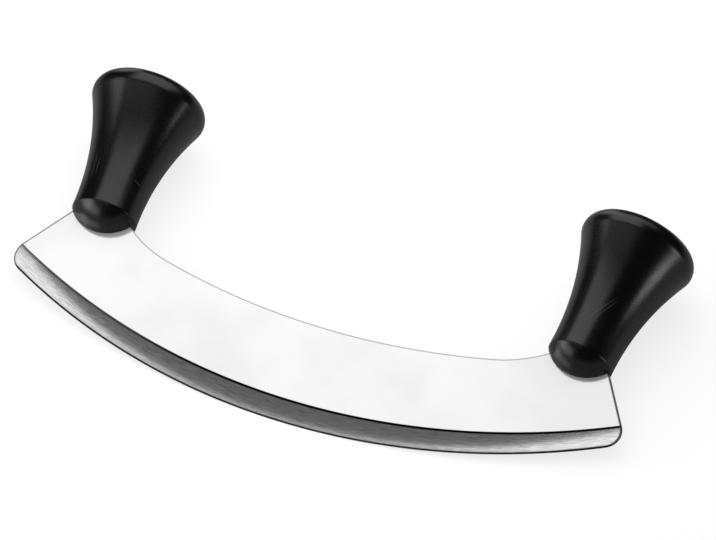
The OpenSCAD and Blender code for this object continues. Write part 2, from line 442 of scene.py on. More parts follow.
@dataclass(frozen=True)
class KnobSizes:
    """Sizes of a handle about its own axis, from its foot ring up."""

    foot: float = 23.3 * MM
    foot_h: float = 6.6 * MM
    ridge_r: float = 1.2 * MM
    flare_h: float = 43.8 * MM
    flare: float = 40 * MM
    flare_r: float = 101 * MM
    rim_r: float = 5 * MM
    crown_r: float = 72 * MM
    wall: float = 3.4 * MM
    floor_h: float = 12 * MM
    slot_fit: float = 0.05 * MM
    land: float = 2.1 * MM
    ledge: float = 2 * MM
    cap_t: float = 2 * MM
    skirt_h: float = 4 * MM
    skirt_t: float = 1.6 * MM
    cap_fit: float = 0.08 * MM
    lip_r: float = 0.2 * MM

    @property
    def foot_p(self) -> Vector:
        """Point where the flare would meet the foot ring."""
        return Vector((self.foot / 2, 0))

    @property
    def head_p(self) -> Vector:
        """Point at the head of the flare."""
        return Vector((self.flare / 2, self.flare_h))

    @property
    def flare_c(self) -> Vector:
        """Centre of the flare's hollow curve."""
        chord = self.head_p - self.foot_p
        u = unit(chord)
        rise = math.sqrt(self.flare_r**2 - (chord.length / 2) ** 2)
        return (self.foot_p + self.head_p) / 2 + rise * Vector((u.y, -u.x))

    @property
    def rim_c(self) -> Vector:
        """Centre of the rim's round."""
        return self.head_p + self.rim_r * unit(self.head_p - self.flare_c)

    @property
    def crown_c(self) -> Vector:
        """Centre of the domed top."""
        drop = math.sqrt((self.crown_r - self.rim_r) ** 2 - self.rim_c.x**2)
        return Vector((0, self.rim_c.y - drop))

    @property
    def crown_p(self) -> Vector:
        """Point where rim and top meet."""
        return self.rim_c + self.rim_r * unit(self.rim_c - self.crown_c)

    @property
    def dome_r(self) -> float:
        """Radius of the foot's dome."""
        return ((self.foot / 2) ** 2 + self.foot_h**2) / (2 * self.foot_h)

    @property
    def dome_c(self) -> Vector:
        """Centre of the foot's dome."""
        return Vector((0, self.dome_r - self.foot_h))

    @property
    def ridge_c(self) -> Vector:
        """Centre of the round between flare and dome."""
        outer = self.flare_r + self.ridge_r
        return crossing(self.dome_c, self.dome_r - self.ridge_r, self.flare_c, outer)

    @property
    def recess_r(self) -> float:
        """Radius of the recess that takes the cap."""
        return self.crown_p.x - self.land

    @property
    def mouth_r(self) -> float:
        """Radius of the hollow's straight mouth."""
        return self.recess_r - self.ledge

    @property
    def ledge_y(self) -> float:
        """Height of the ledge that carries the cap."""
        return self.crown_p.y - self.cap_t

    def top_y(self, r: float) -> float:
        """Return the height of the domed top at a radius."""
        return self.crown_c.y + math.sqrt(self.crown_r**2 - r * r)

    def hollow_r(self, h: float) -> float:
        """Return the radius of the hollow's flared wall at a height."""
        radius = self.flare_r + self.wall
        return self.flare_c.x - math.sqrt(radius**2 - (h - self.flare_c.y) ** 2)


# ---- the knife at rest


@dataclass(frozen=True)
class Rest:
    """How the flat drawing lies down on the table.

    Attributes:
        blade: Sizes of the blade.
        knob: Sizes of the handles.
        rounds: How often the tilt is refined.
    """

    blade: BladeSizes
    knob: KnobSizes
    rounds: int = 8

    def level_sine(self, centre: Vector, radius: float) -> float:
        """Sine of the tilt at which a handle's ring is level with the blade's facet.

        Args:
            centre: Section centre of the ring's round, from the handle's axis and foot ring.
            radius: Radius of that round.

        Returns:
            The sine, found by repeated substitution.
        """
        b = self.blade
        s = 0.0
        for _ in range(self.rounds):
            lean = centre.x * math.sqrt(1 - (s * math.cos(b.splay)) ** 2)
            up = b.seat_h + centre.y * math.cos(b.splay) - b.facet
            s = (lean + radius - b.ground / 2 * math.sqrt(1 - s * s)) / up
        return s

    @property
    def tilt(self) -> float:
        """Tilt of the blade's plane from the table."""
        k = self.knob
        rings = ((k.ridge_c, k.ridge_r), (k.rim_c, k.rim_r))
        return math.asin(max(self.level_sine(centre, radius) for centre, radius in rings))

    @property
    def shift(self) -> Vector:
        """Move from the drawing's origin, the edge's lowest point, to the table."""
        b, k = self.blade, self.knob
        reach = (b.seat_h + k.crown_c.y * math.cos(b.splay)) * math.cos(self.tilt) + k.crown_r
        lift = b.ground / 2 * math.cos(self.tilt) - b.facet * math.sin(self.tilt)
        return Vector((0, -reach / 2, lift))

    @property
    def matrix(self) -> Matrix:
        """Matrix from the drawing plane to the table."""
        return Matrix.Translation(self.shift) @ Matrix.Rotation(self.tilt, 4, "X")

    def knob_matrix(self, side: int) -> Matrix:
        """Matrix from a handle's own axis, along Z, to the table.

        Args:
            side: -1 for the left handle and 1 for the right one.

        Returns:
            The matrix.
        """
        b = self.blade
        stand = Matrix.Translation((side * b.handle_x, b.seat_h, 0))
        lean = Matrix.Rotation(-side * b.splay, 4, "Z")
        return self.matrix @ stand @ lean @ Matrix.Rotation(-math.pi / 2, 4, "X")


# ---- finishes


class Slot(Enum):
    """The record's material slots, one for each kind of rebuilt piece."""

    BLADE = "blade_steel"
    HANDLE = "handle_plastic"
    CAP = "cap_plastic"


def new_material(name: str) -> tuple[bpy.types.Material, Graph]:
    """Return an empty material and the graph of its nodes."""
    material = bpy.data.materials.new(name)
    material.use_nodes = True
    return material, Graph(material.node_tree)


def own_place(graph: Graph, matrix: Matrix) -> Term:
    """Coordinates of a piece in its drawing or about its axis, before it was laid down.

    Args:
        graph: The material's graph.
        matrix: The matrix that laid the piece down.

    Returns:
        The vector, in metres.
    """
    place = graph.out(graph.node("ShaderNodeTexCoord"), "Object")
    back = matrix.inverted()
    inputs = {
        "Vector": place,
        "Location": back.to_translation(),
        "Rotation": back.to_euler("XYZ"),
    }
    return graph.out(graph.node("ShaderNodeMapping", {"vector_type": "POINT"}, inputs))


@dataclass(frozen=True)
class GroundSteel:
    """Satin rolled steel with a hollow-ground bevel and a stoned facet.

    Attributes:
        flat: Brightness of the rolled face.
        cloud: How much that face clouds over.
        hollow: Brightness of the ground bevel.
        facet: Brightness of the stoned facet, painted near black as a painted dark reflection.
        shoulder_shade: Brightness of the painted shade along the line where the bevel begins.
        shoulder_w: Width of that line.
        cut: Brightness of the blanked sides and of the outline margin, painted near black as painted
            shade along the plate's edges.
        outline: Width of the painted shade margin along the ends.
        flat_rough: Roughness of the rolled face.
        hollow_rough: Roughness of the ground bevel.
        flat_satin: Share of the rolled face's light that it scatters.
        hollow_satin: The same for the ground bevel.
        grit: Spacing of the grinding marks.
        coarse: Spacing of the coarser marks among them, in grits.
        swing: How much the marks change the bevel's brightness.
        cloud_size: Spacing of the clouds.
        rolled_size: Spacing of the rolling marks.
        outline_spread: How much wider the painted shade margin is at the right end.
        outline_spread_x: Where along the chord it widens.
        darker_x: Where along the chord the rolled face turns darker, towards the right end.
        dull: How much darker it turns there.
        fade_x: Where along the chord the painted shade along the bevel's line comes up to full
            strength.
        back_outline_share: Strength of the painted shade margin along the back.
        relief: Depth of the marks.
        relief_share: How much of that depth shows.
    """

    flat: float = 0.655
    cloud: float = 0.09
    hollow: float = 0.53
    facet: float = 0.03
    shoulder_shade: float = 0.015
    shoulder_w: float = 1.0 * MM
    cut: float = 0.05
    outline: float = 0.6 * MM
    flat_rough: float = 0.12
    hollow_rough: float = 0.13
    flat_satin: float = 0.4
    hollow_satin: float = 0.05
    grit: float = 0.16 * MM
    coarse: float = 2.6
    swing: float = 0.26
    cloud_size: float = 34 * MM
    rolled_size: float = 0.5 * MM
    outline_spread: float = 0.35 * MM
    outline_spread_x: Point = (60 * MM, 100 * MM)
    darker_x: Point = (50 * MM, 100 * MM)
    dull: float = 0.8
    fade_x: Point = (-75 * MM, -30 * MM)
    back_outline_share: float = 0.6
    relief: float = 0.004 * MM
    relief_share: float = 0.3

    def make(self, sizes: BladeSizes, matrix: Matrix) -> bpy.types.Material:
        """Build the steel for a blade.

        Args:
            sizes: The blade's sizes, from which the bevel's place is worked out.
            matrix: The matrix that laid the blade down.

        Returns:
            The material.
        """
        material, g = new_material("ground_steel")
        place = own_place(g, matrix)
        x, y, z = g.split(place)
        out = g.reach(x, y - sizes.grind_y) - sizes.bevel_line_r
        edge = g.reach(x, y - sizes.edge_r)
        along = g.math("ARCTAN2", x, sizes.grind_y - y) * sizes.bevel_line_r
        heel = sizes.edge_r - sizes.facet
        hollow = out.step(0.0, 0.1 * MM)
        facet = edge.step(heel - 0.1 * MM, heel + 0.05 * MM)
        half = self.shoulder_w / 2
        line = 1.0 - (abs(out - half) / half).clip()
        # Painted shade: a near-black line where the bevel begins, half as strong at the left end
        shade = line.step(0.0, 0.4) * (1.0 - facet) * (0.5 + 0.5 * x.step(*self.fade_x))
        ends, back = self.insets(g, sizes, x, y)
        width = (self.outline, self.outline / 3)
        # Painted shade: a dark margin inside the outline, wider at the right end and weaker along the
        # back
        painted_outline = (ends - self.outline_spread * x.step(*self.outline_spread_x)).step(*width)
        painted_outline = g.math("MAXIMUM", painted_outline, self.back_outline_share * back.step(*width))

        clouds = g.noise(place, 1 / self.cloud_size, 3.0, 0.55)
        streaks = g.noise(g.join(along * 0.03, out, 0.0), 1 / self.grit, 3.0, 0.6)
        grain = g.noise(g.join(along * 0.1, out, 0.0), 1 / (self.coarse * self.grit), 2.0, 0.6)
        rolled = g.noise(g.join(x * 0.04, y, 0.0), 1 / self.rolled_size, 3.0, 0.6)
        # The rolled face turns darker towards the right end, on top of the random clouds
        dull = (clouds.step(0.35, 0.75) + self.dull * x.step(*self.darker_x)).clip()
        face = g.mix(dull, rgb(self.flat), rgb(self.flat * (1 - self.cloud)))
        marks = 0.3 * streaks + 0.7 * grain.step(0.25, 0.75)
        low, high = self.hollow * (1 - self.swing), self.hollow * (1 + self.swing)
        colour = g.mix(hollow, face, g.mix(marks, rgb(low), rgb(high)))
        # Painted shade along the bevel's line
        colour = g.mix(shade, colour, rgb(self.shoulder_shade))
        # Painted dark reflection: the facet coloured near black
        colour = g.mix(facet, colour, rgb(self.facet))
        # Painted shade: the dark margin along the outline
        colour = g.mix(painted_outline, colour, rgb(self.cut))
        # Painted shade: the blanked sides coloured near black
        face_z = sizes.thickness / 2
        cut = abs(z).step(face_z - 0.01 * MM, face_z - 0.04 * MM) * (1.0 - hollow)
        colour = g.mix(cut, colour, rgb(self.cut))

        rough = self.flat_rough + 0.06 * (clouds - 0.5) + 0.03 * (rolled - 0.5) + 0.3 * cut
        rough = rough * (1.0 - hollow) + hollow * (self.hollow_rough + 0.05 * (streaks - 0.5))
        height = hollow * streaks * 0.5 + (1.0 - hollow) * rolled * 0.12
        g.principled({
            "Base Color": colour,
            "Metallic": 1.0 - self.flat_satin * (1.0 - hollow) - self.hollow_satin * hollow,
            "Roughness": rough + facet * 0.15,
            "Normal": g.bump(self.relief_share, self.relief, height),
        })
        return material

    def insets(self, g: Graph, sizes: BladeSizes, x: Term, y: Term) -> tuple[Term, Term]:
        """Work out how far inside the outline a point lies.

        Args:
            g: The material's graph.
            sizes: The blade's sizes.
            x: Place along the chord.
            y: Place across it.

        Returns:
            The distance to the ends, the tips and the edge, and the distance to the back.
        """
        side = abs(x)
        end, tip = sizes.end_n, sizes.tip_c
        edge = unit(tip - Vector((0, sizes.edge_r)))
        dx, dy = side - tip.x, y - tip.y
        to_end = sizes.tip_r - (dx * end.x + dy * end.y)
        to_edge = sizes.edge_r - g.reach(x, y - sizes.edge_r)
        below = g.math("LESS_THAN", dy * end.x - dx * end.y, 0.0)
        beyond = g.math("GREATER_THAN", dy * edge.x - dx * edge.y, 0.0)
        corner = below * beyond
        straight = g.math("MINIMUM", to_end, to_edge)
        ends = corner * (sizes.tip_r - g.reach(dx, dy)) + (1.0 - corner) * straight
        swept = g.math("GREATER_THAN", side, sizes.meet.x)
        to_sweep = g.reach(side - sizes.sweep_c.x, y - sizes.sweep_c.y) - sizes.sweep_r
        to_back = g.reach(x, y - sizes.back_c.y) - sizes.back_r
        return ends, swept * to_sweep + (1.0 - swept) * to_back


@dataclass(frozen=True)
class Scratch:
    """A hairline scratch on the side of a handle that faces the user.

    Attributes:
        start: Where it begins, across and along the handle's axis.
        end: Where it ends.
        width: Its width.
    """

    start: Point
    end: Point
    width: float = 0.1 * MM

    def mask(self, g: Graph, x: Term, y: Term, z: Term) -> Term:
        """Return 1 on the scratch and 0 elsewhere, for a place about the handle's axis."""
        run = Vector(self.end) - Vector(self.start)
        way = unit(run)
        dx, dz = x - self.start[0], z - self.start[1]
        along = dx * way.x + dz * way.y
        aside = abs(dz * way.x - dx * way.y)
        inside = along.step(0.0, run.length / 3) * along.step(run.length, run.length * 2 / 3)
        return inside * aside.step(self.width, self.width / 4) * y.step(0.0, -MM)


@dataclass(frozen=True)
class MouldedPlastic:
    """Black moulded plastic, semi-gloss, with the fine bloom that handling leaves.

    Attributes:
        name: Name of the material.
        level: Brightness of the plastic itself.
        rough: Mean roughness.
        bloom: How much the roughness wanders.
        ior: Index of refraction.
        bloom_size: Spacing of the bloom.
        rub: How much rubbing marks change the roughness.
        rub_size: Spacing of those marks.
        drawn: Width of such a mark over its length along the axis.
        skin: How much the mould's texture changes the roughness.
        skin_size: Spacing of that texture.
        relief: Depth of both.
        relief_share: How much of that depth shows.
        mark_level: Brightness of a scratch.
        mark_rough: How much rougher it is.
        scratches: Scratches on it.
    """

    name: str = "moulded_plastic"
    level: float = 0.0007
    rough: float = 0.28
    bloom: float = 0.08
    ior: float = 1.5
    bloom_size: float = 9 * MM
    rub: float = 0.08
    rub_size: float = 0.9 * MM
    drawn: float = 0.15
    skin: float = 0.12
    skin_size: float = 0.35 * MM
    relief: float = 0.012 * MM
    relief_share: float = 0.2
    mark_level: float = 0.05
    mark_rough: float = 0.25
    scratches: tuple[Scratch, ...] = ()

    def make(self, matrix: Matrix) -> bpy.types.Material:
        """Build the plastic for a piece.

        Args:
            matrix: The matrix that laid the piece down.

        Returns:
            The material.
        """
        material, g = new_material(self.name)
        place = own_place(g, matrix)
        x, y, z = g.split(place)
        bloom = g.noise(place, 1 / self.bloom_size, 3.0, 0.55)
        rub = g.noise(g.join(x, y, z * self.drawn), 1 / self.rub_size, 2.0, 0.6)
        skin = g.noise(place, 1 / self.skin_size, 2.0, 0.5)
        colour = g.mix(bloom.step(0.3, 0.8), rgb(self.level), rgb(self.level * 1.5))
        rough = self.rough + self.bloom * (bloom - 0.5)
        rough = rough + self.rub * (rub - 0.5) + self.skin * (skin - 0.5)
        for scratch in self.scratches:
            mark = scratch.mask(g, x, y, z)
            colour = g.mix(mark, colour, rgb(self.mark_level))
            rough = rough + self.mark_rough * mark
        g.principled({
            "Base Color": colour,
            "Roughness": rough,
            "IOR": self.ior,
            "Normal": g.bump(self.relief_share, self.relief, skin * 0.5 + rub),
        })
        return material


@dataclass(frozen=True)
class SpringSteel:
    """Plain tempered strip, as the washers inside the handles are made of.

    Attributes:
        level: Brightness of the steel.
        rough: Mean roughness.
        wander: How much the roughness changes.
        grain_size: Spacing of the grain.
        stain_size: Spacing of the tempering stains.
    """

    level: float = 0.42
    rough: float = 0.34
    wander: float = 0.15
    grain_size: float = 0.6 * MM
    stain_size: float = 5 * MM

    def make(self) -> bpy.types.Material:
        """Build the strip's material."""
        material, g = new_material("spring_strip")
        place = g.out(g.node("ShaderNodeTexCoord"), "Object")
        grain = g.noise(place, 1 / self.grain_size, 3.0, 0.6)
        stain = g.noise(place, 1 / self.stain_size, 2.0, 0.5)
        g.principled({
            "Base Color": g.mix(stain, rgb(self.level, 0.03), rgb(self.level * 0.8, 0.06)),
            "Metallic": 1.0,
            "Roughness": self.rough + self.wander * (grain - 0.5),
        })
        return material


# ---- pieces


def new_object(name: str, data: bpy.types.ID) -> bpy.types.Object:
    """Return a new object of the scene that shows the given data."""
    obj = bpy.data.objects.new(name, data)
    bpy.context.scene.collection.objects.link(obj)
    return obj


def finish_piece(obj: bpy.types.Object, slot: Slot, *nodes: str) -> None:
    """Tie a finished piece to the frame.

    Args:
        obj: The piece, in place.
        slot: The record's slot that the piece stands for; not used.
        nodes: The frame's nodes that it stands for.
    """
    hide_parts(*nodes)
    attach(obj, "root")
    LOG.info("%s: %d faces, for %s", obj.name, len(obj.data.polygons), ", ".join(nodes))


@dataclass
class Blade:
    """The curved plate with its two tangs.

    Attributes:
        sizes: Its sizes.
        matrix: The matrix that lays it down.
        finish: Its steel.
        edge_steps: Faces along the cutting edge.
        hollow_steps: Faces across the hollow grind.
        corner_steps: Faces round each tip.
        back_steps: Faces along the back's long curve.
        sweep_steps: Faces along each curve up to a handle.
        burr: Break of the plate's corners.
        burr_steps: Faces across that break.
        corner: Bend, in radians, from which an edge is such a corner.
        crease: Bend from which an edge is shaded crisp.
    """

    sizes: BladeSizes
    matrix: Matrix
    finish: GroundSteel = GroundSteel()
    edge_steps: int = 260
    hollow_steps: int = 12
    corner_steps: int = 14
    back_steps: int = 80
    sweep_steps: int = 24
    burr: float = 0.25 * MM
    burr_steps: int = 3
    corner: float = 1.2
    crease: float = math.radians(4.5)

    def end_point(self, radius: float) -> Vector:
        """Point of the right end that lies at a radius about the grinding axis."""
        s = self.sizes
        along = Vector((-s.end_n.y, s.end_n.x))
        start = s.end_off * s.end_n - Vector((0, s.grind_y))
        b = start.dot(along)
        c = start.length_squared - radius**2
        # The end runs towards the axis, so the far root lies on the blade
        return s.end_off * s.end_n + (-b - math.sqrt(b * b - c)) * along

    def lower_half(self) -> list[Vector]:
        """Right half of the outline below the bevel's line, from the middle of the edge outwards."""
        s = self.sizes
        centre = Vector((0, s.edge_r))
        tip = unit(s.tip_c - centre)
        last = math.atan2(tip.x, -tip.y)
        n = self.edge_steps // 2
        turns = [last * i / n for i in range(n + 1)]
        pts = [centre + s.edge_r * Vector((math.sin(a), -math.cos(a))) for a in turns]
        first = math.atan2(tip.y, tip.x)
        end = math.atan2(s.end_n.y, s.end_n.x)
        for i in range(1, self.corner_steps + 1):
            a = first + (end - first) * i / self.corner_steps
            pts.append(s.tip_c + s.tip_r * Vector((math.cos(a), math.sin(a))))
        top = self.end_point(s.bevel_line_r)
        if (top - pts[-1]).dot(Vector((-s.end_n.y, s.end_n.x))) < 0:
            pts[-1] = top
        return pts

    def upper_half(self) -> list[Vector]:
        """Right half of the outline above the bevel's line, from the end to the middle of the back."""
        s = self.sizes
        w, top, c = s.tang / 2, s.tang_top, s.tang_chamfer
        corners = [
            (s.neck_out, -s.shoulder_drop),
            (w, -s.shoulder_drop),
            (w, top - c),
            (w - c, top),
            (c - w, top),
            (-w, top - c),
            (-w, -s.shoulder_drop),
            (-s.neck_in, -s.shoulder_drop),
        ]
        pts = [s.on_handle(u, v) for u, v in corners]
        back_r, back_c, sweep_c = s.back_r, s.back_c, s.sweep_c
        a, b = s.neck - sweep_c, s.meet - sweep_c
        first, last = math.atan2(a.y, a.x), math.atan2(b.y, b.x)
        for i in range(1, self.sweep_steps + 1):
            t = first + (last - first) * i / self.sweep_steps
            pts.append(sweep_c + s.sweep_r * Vector((math.cos(t), math.sin(t))))
        span = math.asin(s.meet.x / back_r)
        n = self.back_steps // 2
        for i in range(1, n + 1):
            t = span * (1 - i / n)
            pts.append(back_c + back_r * Vector((math.sin(t), -math.cos(t))))
        return pts

    def strip(self, p: Vector) -> list[Vector]:
        """Points from the bevel's line out to a point of the lower outline.

        Args:
            p: The outline's point.

        Returns:
            The points, the last of them p, with one on the facet's line.
        """
        s = self.sizes
        axis = Vector((0, s.grind_y))
        corner = self.end_point(s.bevel_line_r)
        limit = math.atan2(corner.x, axis.y - corner.y)
        t = max(-limit, min(limit, math.atan2(p.x, axis.y - p.y)))
        inner = axis + s.bevel_line_r * Vector((math.sin(t), -math.cos(t)))
        centre = Vector((0, s.edge_r))
        over = (p - centre).length - (s.edge_r - s.facet)
        run = (p - inner).length
        # At the ends the strip shrinks to a point
        share = max(0.0, 1 - max(over, 0.0) / run) if run > 1e-7 else 0.0
        heel = inner.lerp(p, share)
        n = self.hollow_steps
        return [inner.lerp(heel, i / n) for i in range(n + 1)] + [p]

    def build(self) -> None:
        """Build the blade's mesh, dress it and tie it to the frame."""
        right = self.lower_half()
        lower = [Vector((-p.x, p.y)) for p in reversed(right[1:])] + right
        half = self.upper_half()
        upper = half + [Vector((-p.x, p.y)) for p in reversed(half[:-1])]

        bm = bmesh.new()
        grid: dict[tuple[int, int, int], bmesh.types.BMVert] = {}
        rows = [self.strip(p) for p in lower]
        for i, row in enumerate(rows):
            for j, p in enumerate(row):
                h = self.sizes.half(p)
                for side in (-1, 1):
                    grid[i, j, side] = bm.verts.new((p.x, p.y, side * h))
        full = self.sizes.thickness / 2
        rim = {side: [bm.verts.new((p.x, p.y, side * full)) for p in upper] for side in (-1, 1)}

        def face(*verts: bmesh.types.BMVert) -> None:
            """Add a face."""
            bm.faces.new(verts)

        def wall(a: tuple[int, int], b: tuple[int, int]) -> None:
            """Add a face between the two sides of the plate, from one spot of the grid to another."""
            face(grid[(*a, 1)], grid[(*a, -1)], grid[(*b, -1)], grid[(*b, 1)])

        n, last = len(rows), len(rows[0]) - 1
        for i in range(n - 1):
            for j in range(last):
                quad = ((i, j), (i, j + 1), (i + 1, j + 1), (i + 1, j))
                face(*(grid[(*spot, 1)] for spot in quad))
                face(*(grid[(*spot, -1)] for spot in (quad[0], *reversed(quad[1:]))))
            wall((i, last), (i + 1, last))
        # The outermost rows run along the ends
        for i in (0, n - 1):
            for j in range(last):
                wall((i, j), (i, j + 1))
        line = {side: [grid[i, 0, side] for i in range(n)] for side in (-1, 1)}
        face(*(line[1] + rim[1]))
        face(*reversed(line[-1] + rim[-1]))
        bmesh.ops.remove_doubles(bm, verts=bm.verts, dist=WELD)
        bm.verts.ensure_lookup_table()

        def near(p: Vector, z: float) -> bmesh.types.BMVert:
            """Return the vertex at a point."""
            return min(bm.verts, key=lambda v: (v.co - Vector((p.x, p.y, z))).length_squared)

        corner = self.end_point(self.sizes.bevel_line_r)
        ring = [corner, *upper, Vector((-corner.x, corner.y))]
        for p, q in zip(ring, ring[1:]):
            face(near(p, full), near(p, -full), near(q, -full), near(q, full))
        bmesh.ops.recalc_face_normals(bm, faces=bm.faces)
        self.break_corners(bm)
        self.mark_sharp(bm)
        bmesh.ops.transform(bm, matrix=self.matrix, verts=bm.verts)
        mesh = bpy.data.meshes.new("blade_plate")
        bm.to_mesh(mesh)
        bm.free()
        mesh.materials.append(self.finish.make(self.sizes, self.matrix))
        finish_piece(new_object("blade_plate", mesh), Slot.BLADE, "blade")

    def break_corners(self, bm: bmesh.types.BMesh) -> None:
        """Take the burr off the plate's corners above the bevel."""
        full = self.sizes.thickness / 2 - 0.001 * MM
        edges = [
            e
            for e in bm.edges
            if all(abs(v.co.z) > full for v in e.verts)
            and e.calc_face_angle(0.0) > self.corner
        ]
        bmesh.ops.bevel(
            bm,
            geom=edges,
            offset=self.burr,
            segments=self.burr_steps,
            profile=0.5,
            affect="EDGES",
            clamp_overlap=True,
        )

    def mark_sharp(self, bm: bmesh.types.BMesh) -> None:
        """Shade the grinds smooth and keep every real corner crisp."""
        for f in bm.faces:
            f.smooth = True
        for e in bm.edges:
            if e.calc_face_angle(0.0) > self.crease:
                e.smooth = False


@dataclass(frozen=True)
class SlotBox:
    """A box that is cut out of a turned piece, less a round that stays.

    Attributes:
        extent: The box's size.
        middle: Its middle.
        round_r: Radius of the round that stays, square to the slot's faces, or 0 for none.
        round_c: Its centre.
    """

    extent: Vector
    middle: Vector
    round_r: float = 0.0
    round_c: Vector = Vector((0, 0, 0))


@dataclass
class Turning:
    """A turned piece, built by a Geometry Nodes tree from its profile and its slots.

    Attributes:
        name: Name of the piece.
        profile: Its stretches, in order, with the material on the left going up.
        around: Faces round the axis.
        slots: Boxes that are cut out.
        crease: Bend from which an edge is shaded crisp.
        disc_steps: Faces round a slot's round.
        disc_depth: Thickness of the disc that cuts that round, more than any slot's width.
    """

    name: str
    profile: list[Arc]
    around: int
    slots: list[SlotBox] = field(default_factory=list)
    crease: float = math.radians(28)
    disc_steps: int = 240
    disc_depth: float = 10 * MM

    def tree(self, material: bpy.types.Material) -> tuple[bpy.types.NodeTree, dict[str, Any]]:
        """Build the tree that turns the profile.

        Args:
            material: The material that it sets.

        Returns:
            The tree, and the value of each of its named inputs.
        """
        tree = bpy.data.node_groups.new(self.name + "_turning", "GeometryNodeTree")
        g = Graph(tree)
        values: dict[str, Any] = {}
        tree.interface.new_socket("Geometry", in_out="OUTPUT", socket_type="NodeSocketGeometry")
        start = g.node("NodeGroupInput")

        def size(name: str, value: Any, kind: str = "NodeSocketFloat") -> Term:
            """Declare a named input and return it as a term."""
            tree.interface.new_socket(name, in_out="INPUT", socket_type=kind)
            values[name] = value
            return g.out(start, name)

        around = size("Faces Around", self.around, "NodeSocketInt")
        merge = size("Merge Distance", WELD)
        crease = size("Crease Angle", self.crease)
        bands = []
        for i, arc in enumerate(self.profile):
            cells = {"Vertices X": around + 1, "Vertices Y": arc.steps + 1}
            mesh = g.node("GeometryNodeMeshGrid", None, {"Size X": 1.0, "Size Y": 1.0, **cells})
            x, y, _ = g.split(g.out(g.node("GeometryNodeInputPosition")))
            turn = (x + 0.5) * math.tau
            t = y + 0.5
            if arc.centre is None:
                whats = ("Start Radius", "End Radius", "Start Height", "End Height")
                numbers = (arc.start.x, arc.end.x, arc.start.y, arc.end.y)
            else:
                whats = ("Centre Radius", "Centre Height", "Start Curve", "End Curve", "From", "To")
                numbers = arc.numbers()
            terms = [size(f"Band {i + 1} {what}", value) for what, value in zip(whats, numbers)]
            if arc.centre is None:
                r0, r1, h0, h1 = terms
                radius, height = r0 + (r1 - r0) * t, h0 + (h1 - h0) * t
            else:
                cx, cy, r0, r1, a0, a1 = terms
                angle, r = a0 + (a1 - a0) * t, r0 + (r1 - r0) * t
                radius, height = cx + r * angle.cos(), cy + r * angle.sin()
            position = g.join(radius * turn.cos(), radius * turn.sin(), height)
            inputs = {"Geometry": g.out(mesh), "Position": position}
            bands.append(g.out(g.node("GeometryNodeSetPosition", None, inputs)))
        whole = g.out(g.node("GeometryNodeJoinGeometry", None, {0: bands}))
        inputs = {"Geometry": whole, "Distance": merge}
        body = g.out(g.node("GeometryNodeMergeByDistance", None, inputs))

        def without(first: Term, second: Term) -> Term:
            """Cut the second mesh out of the first."""
            settings = {"operation": "DIFFERENCE", "solver": "EXACT"}
            meshes = {"Mesh 1": first, "Mesh 2": second}
            return g.out(g.node("GeometryNodeMeshBoolean", settings, meshes))

        def placed(mesh: bpy.types.Node, middle: Term, turn: Vector = Vector((0, 0, 0))) -> Term:
            """Turn a mesh and move its middle to a place."""
            inputs = {"Geometry": g.out(mesh), "Translation": middle, "Rotation": turn}
            return g.out(g.node("GeometryNodeTransform", None, inputs))

        for i, slot in enumerate(self.slots):
            label = f"Slot {i + 1} "
            extent = size(label + "Size", slot.extent, "NodeSocketVector")
            middle = size(label + "Middle", slot.middle, "NodeSocketVector")
            tool = placed(g.node("GeometryNodeMeshCube", None, {"Size": extent}), middle)
            if slot.round_r:
                radius = size(label + "Round", slot.round_r)
                centre = size(label + "Round Centre", slot.round_c, "NodeSocketVector")
                inputs = {"Vertices": self.disc_steps, "Radius": radius, "Depth": self.disc_depth}
                disc = g.node("GeometryNodeMeshCylinder", None, inputs)
                tool = without(tool, placed(disc, centre, Vector((math.pi / 2, 0, 0))))
            body = without(body, tool)
        shaded = {"Geometry": body, "Shade Smooth": True}
        smooth = g.out(g.node("GeometryNodeSetShadeSmooth", {"domain": "FACE"}, shaded))
        bend = g.out(g.node("GeometryNodeInputMeshEdgeAngle"), "Unsigned Angle")
        sharp = g.math("GREATER_THAN", bend, crease)
        shaded = {"Geometry": smooth, "Selection": sharp, "Shade Smooth": False}
        crisp = g.out(g.node("GeometryNodeSetShadeSmooth", {"domain": "EDGE"}, shaded))
        real = g.out(g.node("GeometryNodeRealizeInstances", None, {"Geometry": crisp}))
        inputs = {"Geometry": real, "Material": material}
        dressed = g.out(g.node("GeometryNodeSetMaterial", None, inputs))
        g.node("NodeGroupOutput", None, {"Geometry": dressed})
        return tree, values

    def build(self, matrix: Matrix, material: bpy.types.Material) -> bpy.types.Object:
        """Evaluate the tree into a plain mesh and lay it down.

        Args:
            matrix: The matrix that lays the piece down.
            material: Its material.

        Returns:
            The finished object, not yet tied to the frame.
        """
        tree, values = self.tree(material)
        obj = new_object(self.name, bpy.data.meshes.new(self.name))
        modifier = obj.modifiers.new("turning", "NODES")
        modifier.node_group = tree
        for item in tree.interface.items_tree:
            if item.in_out == "INPUT":
                modifier[item.identifier] = values[item.name]
        bpy.context.view_layer.update()
        depsgraph = bpy.context.evaluated_depsgraph_get()
        mesh = bpy.data.meshes.new_from_object(obj.evaluated_get(depsgraph))
        obj.modifiers.remove(modifier)
        obj.data = mesh
        mesh.name = self.name
        mesh.transform(matrix)
        if not mesh.materials:
            mesh.materials.append(material)
        return obj


class Side(Enum):
    """The two ends of the knife, by the sign of X."""

    LEFT = -1
    RIGHT = 1

    @property
    def word(self) -> str:
        """Return the side's name as the frame's nodes have it."""
        return self.name.lower()


